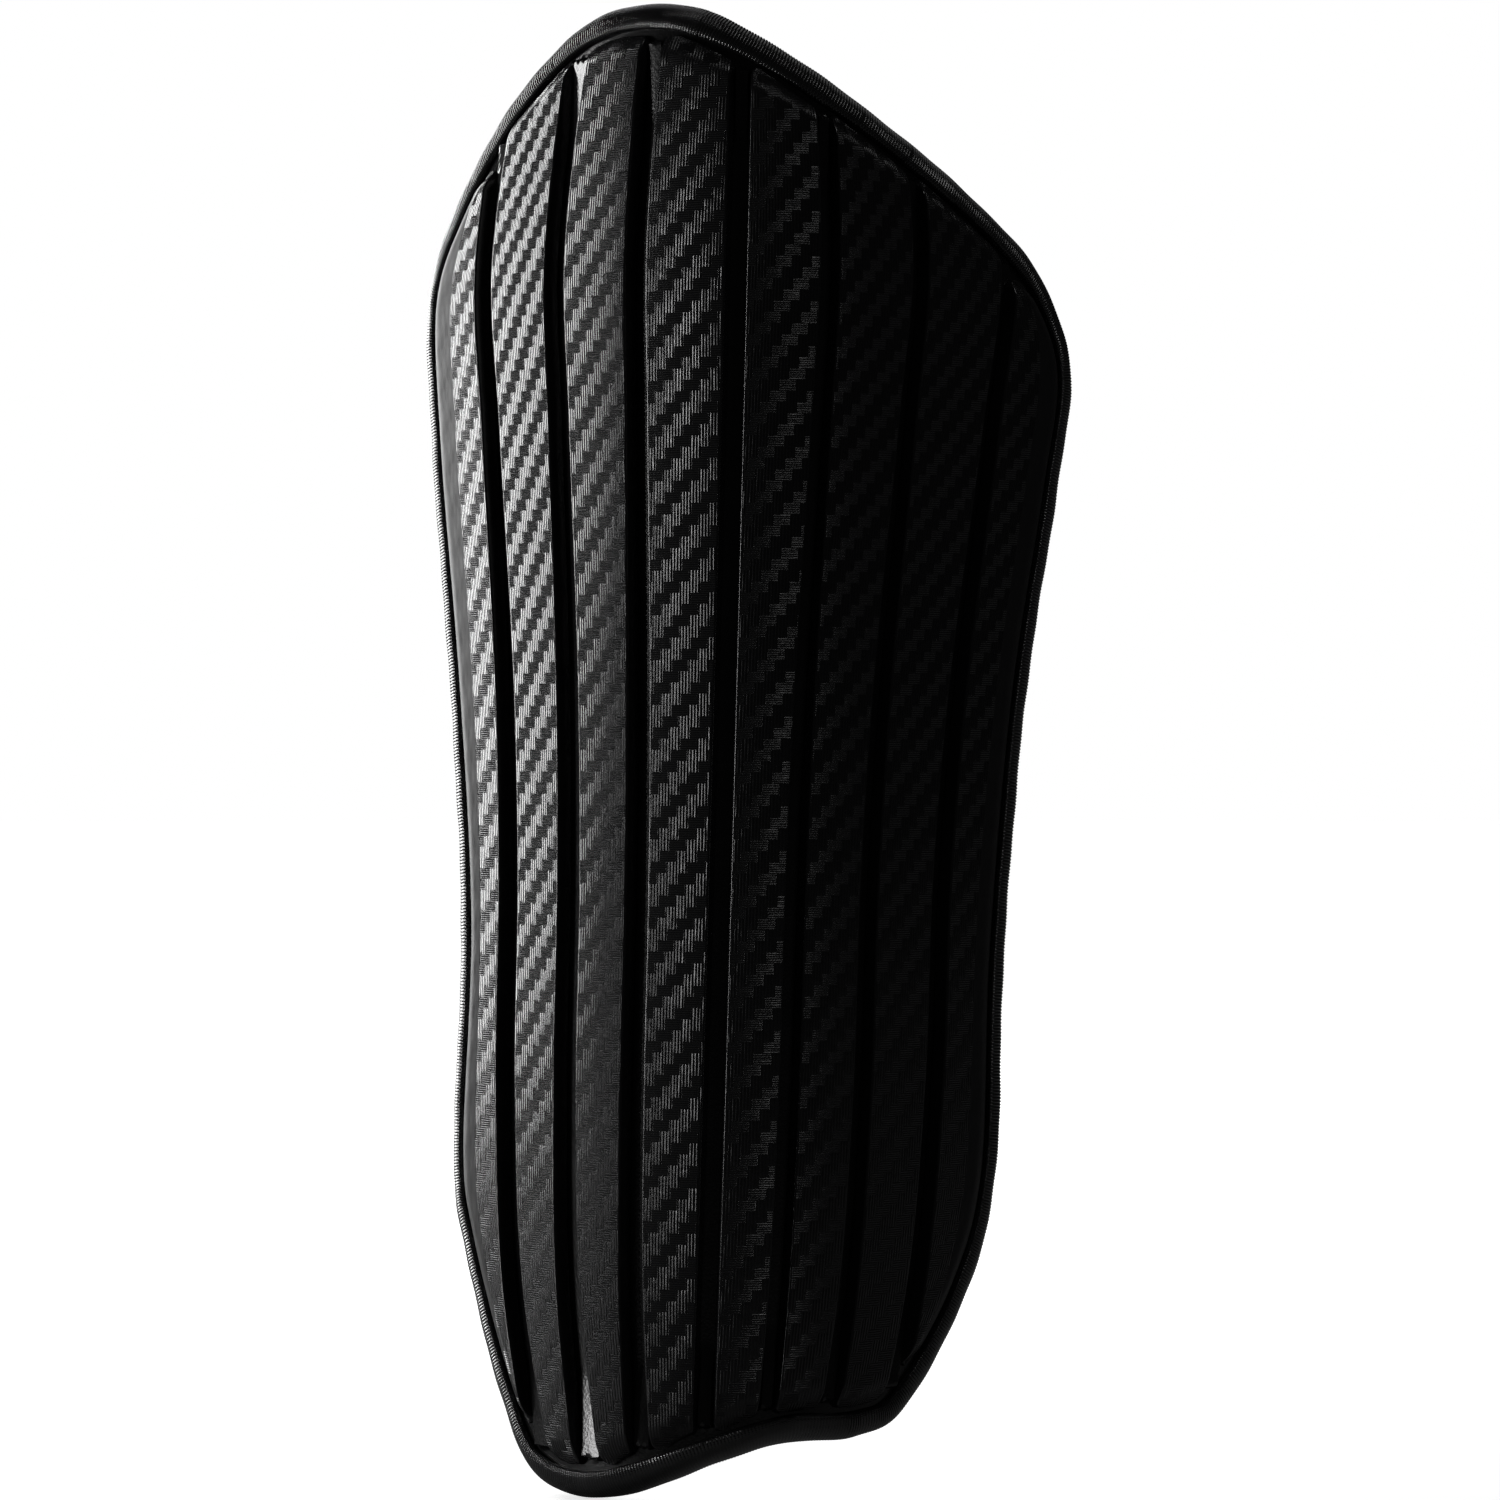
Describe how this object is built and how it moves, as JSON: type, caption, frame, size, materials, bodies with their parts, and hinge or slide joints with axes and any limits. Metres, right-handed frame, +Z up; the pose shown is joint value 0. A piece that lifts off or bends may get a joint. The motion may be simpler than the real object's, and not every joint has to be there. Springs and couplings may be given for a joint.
{
  "type": "shin guard",
  "caption": "Slip-in shin guard for one leg: hard carbon-look slats on a flexible web that bends along the grooves, with foam, a textile lining and a bound edge.",
  "frame": {"origin": "the point of the inner lining that lies on the shin's crest at half height, where the guard is held against the leg", "axes": "+Z up the shin, -Y out of the hard front, +X to the side of the long sloping shoulder and the short lower lobe"},
  "size_m": [0.1016, 0.0515, 0.2221],
  "materials": {
    "slat_plastic": "moulded black plastic with an embossed twill weave, semi-gloss",
    "web_rubber": "smooth flexible black web, semi-gloss",
    "eva_foam": null,
    "lining_knit": "fine black knit, matte",
    "binding_tape": "ribbed black binding tape with a slight sheen",
    "sewing_thread": "black polyester thread"
  },
  "bodies": {
    "crest_panel": {"slat_4": "slat_plastic", "flex_web": "web_rubber", "foam_backing": "eva_foam", "inner_lining": "lining_knit", "edge_binding": "binding_tape", "binding_thread": "sewing_thread"},
    "left_panel_3": {"slat_1": "slat_plastic"},
    "left_panel_2": {"slat_2": "slat_plastic"},
    "left_panel_1": {"slat_3": "slat_plastic"},
    "right_panel_1": {"slat_5": "slat_plastic"},
    "right_panel_2": {"slat_6": "slat_plastic"},
    "right_panel_3": {"slat_7": "slat_plastic"},
    "right_panel_4": {"slat_8": "slat_plastic"}
  },
  "joints": [
    {"name": "groove_4_flex", "type": "hinge", "parent": "crest_panel", "child": "right_panel_1", "pos_m": [-0.0001, -0.0071, -0.0025], "axis": [0.0267, 0.012, 0.9996], "range_deg": [-4, 5], "stiffness_Nm_per_rad": 0.05, "deforming": ["flex_web", "foam_backing", "inner_lining", "edge_binding", "binding_thread"]},
    {"name": "groove_5_flex", "type": "hinge", "parent": "right_panel_1", "child": "right_panel_2", "pos_m": [0.0109, -0.0045, -0.0025], "axis": [0.0472, 0.0212, 0.9987], "range_deg": [-4, 5], "stiffness_Nm_per_rad": 0.05, "deforming": ["flex_web", "foam_backing", "inner_lining", "edge_binding", "binding_thread"]},
    {"name": "groove_6_flex", "type": "hinge", "parent": "right_panel_2", "child": "right_panel_3", "pos_m": [0.0218, 0.0025, -0.0025], "axis": [0.0676, 0.0449, 0.9967], "range_deg": [-4, 5], "stiffness_Nm_per_rad": 0.05, "deforming": ["flex_web", "foam_backing", "inner_lining", "edge_binding", "binding_thread"]},
    {"name": "groove_7_flex", "type": "hinge", "parent": "right_panel_3", "child": "right_panel_4", "pos_m": [0.0329, 0.013, -0.0025], "axis": [0.0882, 0.0767, 0.9931], "range_deg": [-4, 5], "stiffness_Nm_per_rad": 0.05, "deforming": ["flex_web", "foam_backing", "inner_lining", "edge_binding", "binding_thread"]},
    {"name": "groove_3_flex", "type": "hinge", "parent": "crest_panel", "child": "left_panel_1", "pos_m": [-0.0124, -0.0038, -0.0025], "axis": [-0.0034, -0.0236, -0.9997], "range_deg": [-4, 5], "stiffness_Nm_per_rad": 0.05, "deforming": ["flex_web", "foam_backing", "inner_lining", "edge_binding", "binding_thread"]},
    {"name": "groove_2_flex", "type": "hinge", "parent": "left_panel_1", "child": "left_panel_2", "pos_m": [-0.0236, 0.004, -0.0025], "axis": [0.0179, -0.0498, -0.9986], "range_deg": [-4, 5], "stiffness_Nm_per_rad": 0.05, "deforming": ["flex_web", "foam_backing", "inner_lining", "edge_binding", "binding_thread"]},
    {"name": "groove_1_flex", "type": "hinge", "parent": "left_panel_2", "child": "left_panel_3", "pos_m": [-0.0346, 0.0146, -0.0025], "axis": [0.0385, -0.0821, -0.9959], "range_deg": [-4, 5], "stiffness_Nm_per_rad": 0.05, "deforming": ["flex_web", "foam_backing", "inner_lining", "edge_binding", "binding_thread"]}
  ],
  "couplings": [
    {"joint": "groove_5_flex", "follows": "groove_4_flex", "ratio": 1},
    {"joint": "groove_6_flex", "follows": "groove_4_flex", "ratio": 1},
    {"joint": "groove_7_flex", "follows": "groove_4_flex", "ratio": 1},
    {"joint": "groove_3_flex", "follows": "groove_4_flex", "ratio": 1},
    {"joint": "groove_2_flex", "follows": "groove_4_flex", "ratio": 1},
    {"joint": "groove_1_flex", "follows": "groove_4_flex", "ratio": 1}
  ]
}
